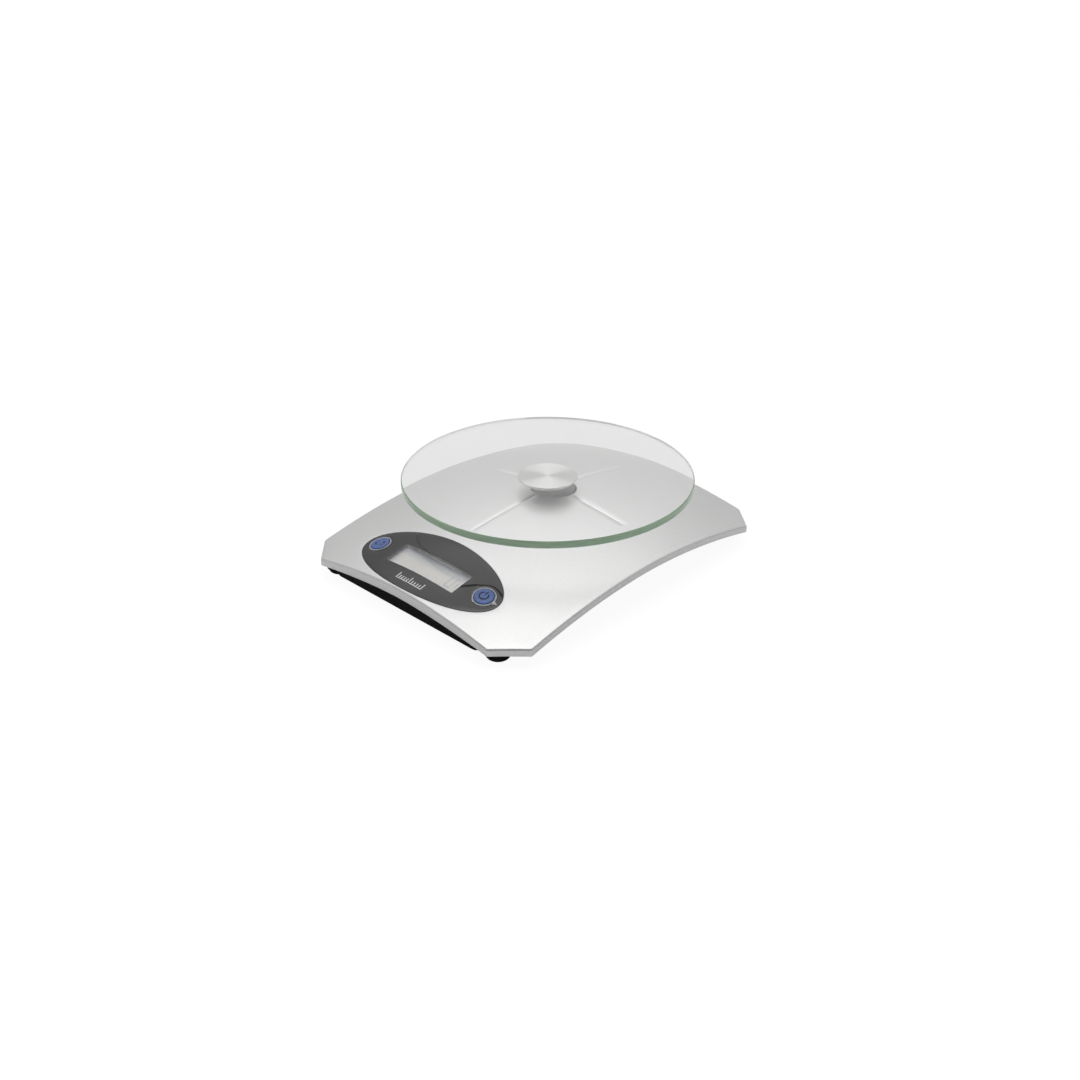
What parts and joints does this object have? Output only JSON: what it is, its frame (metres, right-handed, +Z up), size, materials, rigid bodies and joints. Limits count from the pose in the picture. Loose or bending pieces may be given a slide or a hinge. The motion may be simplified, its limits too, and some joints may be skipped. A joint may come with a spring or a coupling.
{
  "type": "kitchen scale",
  "caption": "Flat electronic kitchen scale: round glass platform on a metal hub over a thin domed body with an oval display panel and push buttons.",
  "frame": {"origin": "on the table, under the middle of the body's outline, level with the undersides of the feet", "axes": "+Z up; +Y away from the user, so the display is at -Y; +X to the user's right"},
  "size_m": [0.1506, 0.1916, 0.0419],
  "materials": {
    "silver_paint": "satin silver paint over ABS",
    "black_plastic": "fine moulded grain",
    "clear_glass": "clear float glass with a polished green edge",
    "spun_metal": "spun, with circular brush lines",
    "dark_metal": "turned, dark",
    "black_rubber": "matt",
    "smoked_panel": "polished acrylic, printed dark on its back",
    "lcd_glass": "reflective LCD, blank",
    "white_plastic": "moulded",
    "blue_plastic": "moulded, slightly glossy",
    "clear_plastic": "clear moulded",
    "green_board": "solder mask over fibreglass",
    "black_epoxy": "potted",
    "grey_silicone": "elastomer",
    "white_silicone": "cured sealant",
    "aluminium": "milled",
    "steel": "zinc plated",
    "battery_label": "shrink sleeve",
    "red_insulation": "PVC",
    "black_insulation": "PVC",
    "grey_insulation": "PVC"
  },
  "bodies": {
    "chassis": {"base_tray": "black_plastic", "battery_1": "battery_label", "battery_2": "battery_label", "battery_lead_black": "black_insulation", "battery_lead_red": "red_insulation", "battery_spring_1": "steel", "battery_spring_2": "steel", "board_screw_1": "steel", "board_screw_2": "steel", "case_screw_1": "steel", "case_screw_2": "steel", "case_screw_3": "steel", "case_screw_4": "steel", "circuit_board": "green_board", "connector_strip": "grey_silicone", "contact_bridge": "steel", "contact_negative": "steel", "contact_positive": "steel", "controller_chip": "black_epoxy", "display_panel": "smoked_panel", "foot_front_left": "black_rubber", "foot_front_right": "black_rubber", "foot_rear_left": "black_rubber", "foot_rear_right": "black_rubber", "lcd_holder": "white_plastic", "lcd_module": "lcd_glass", "load_cell": "aluminium", "load_cell_cable": "grey_insulation", "load_cell_screw_1": "steel", "load_cell_screw_2": "steel", "load_cell_shim": "steel", "overload_stop_screw": "steel", "strain_gauge_seal": "white_silicone", "tare_button_ring": "clear_plastic", "tare_switch": "black_plastic", "top_cover": "silver_paint", "unit_button_ring": "clear_plastic", "unit_switch": "black_plastic"},
    "platform": {"glass_platform": "clear_glass", "hub_disc": "spun_metal", "hub_post": "dark_metal", "post_screw": "steel", "load_bracket": "steel", "bracket_screw_1": "steel", "bracket_screw_2": "steel"},
    "unit_key": {"unit_button": "blue_plastic", "unit_switch_plunger": "black_plastic"},
    "tare_key": {"tare_button": "blue_plastic", "tare_switch_plunger": "black_plastic"},
    "battery_hatch": {"battery_door": "black_plastic"}
  },
  "joints": [
    {"name": "platform_sink", "type": "slide", "parent": "chassis", "child": "platform", "axis": [0, 0, 1], "range_m": [-0.0005, 0], "stiffness_N_per_m": 20000, "springref_m": 0.0003, "deforming": ["load_cell"]},
    {"name": "unit_press", "type": "slide", "parent": "chassis", "child": "unit_key", "axis": [0, -0.21, 0.9777], "range_m": [-0.0004, 0], "stiffness_N_per_m": 2500, "springref_m": 0.0001},
    {"name": "tare_press", "type": "slide", "parent": "chassis", "child": "tare_key", "axis": [0, -0.21, 0.9777], "range_m": [-0.0004, 0], "stiffness_N_per_m": 2500, "springref_m": 0.0001},
    {"name": "battery_door_slide", "type": "slide", "parent": "chassis", "child": "battery_hatch", "axis": [0, 1, 0], "range_m": [0, 0.028]}
  ]
}
